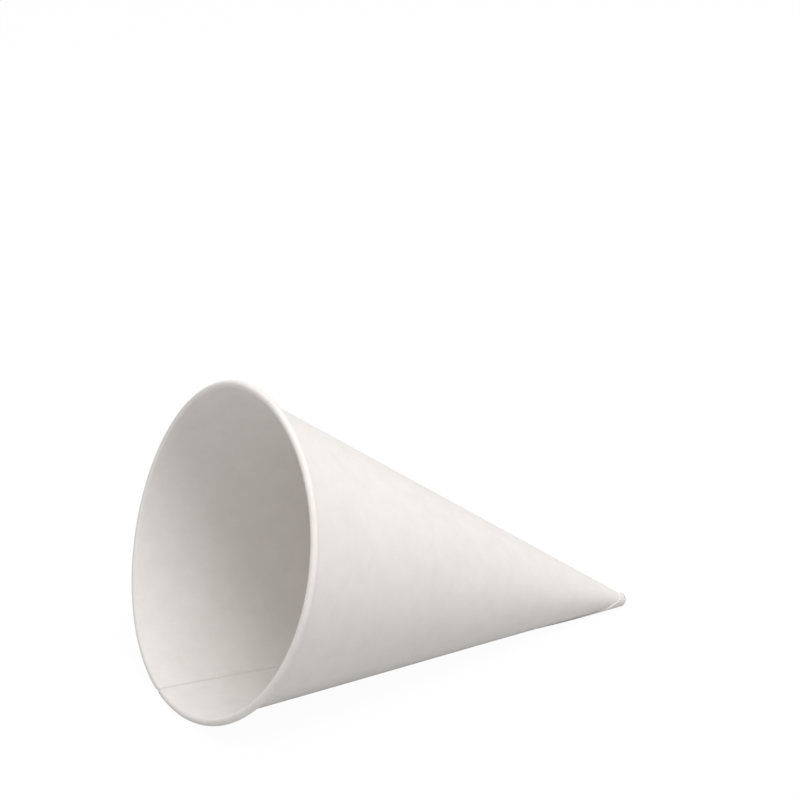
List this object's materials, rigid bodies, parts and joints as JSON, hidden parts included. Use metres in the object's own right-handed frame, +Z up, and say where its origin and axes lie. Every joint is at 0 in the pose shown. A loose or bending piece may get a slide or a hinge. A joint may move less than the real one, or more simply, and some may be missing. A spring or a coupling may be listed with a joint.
{
  "type": "cone paper cup",
  "caption": "Pointed paper drinking cup with a rolled rim and a lapped seam, empty and lying on its side.",
  "frame": {"origin": "centre of the cup's bounding box in plan, on the surface that it lies on", "axes": "+Z up from that surface, -X towards the mouth and +X towards the tip, Y across the mouth's width"},
  "size_m": [0.1054, 0.0736, 0.0633],
  "materials": {
    "cup_paper": "matt uncoated"
  },
  "bodies": {
    "root": {"cup": "cup_paper"}
  },
  "joints": []
}
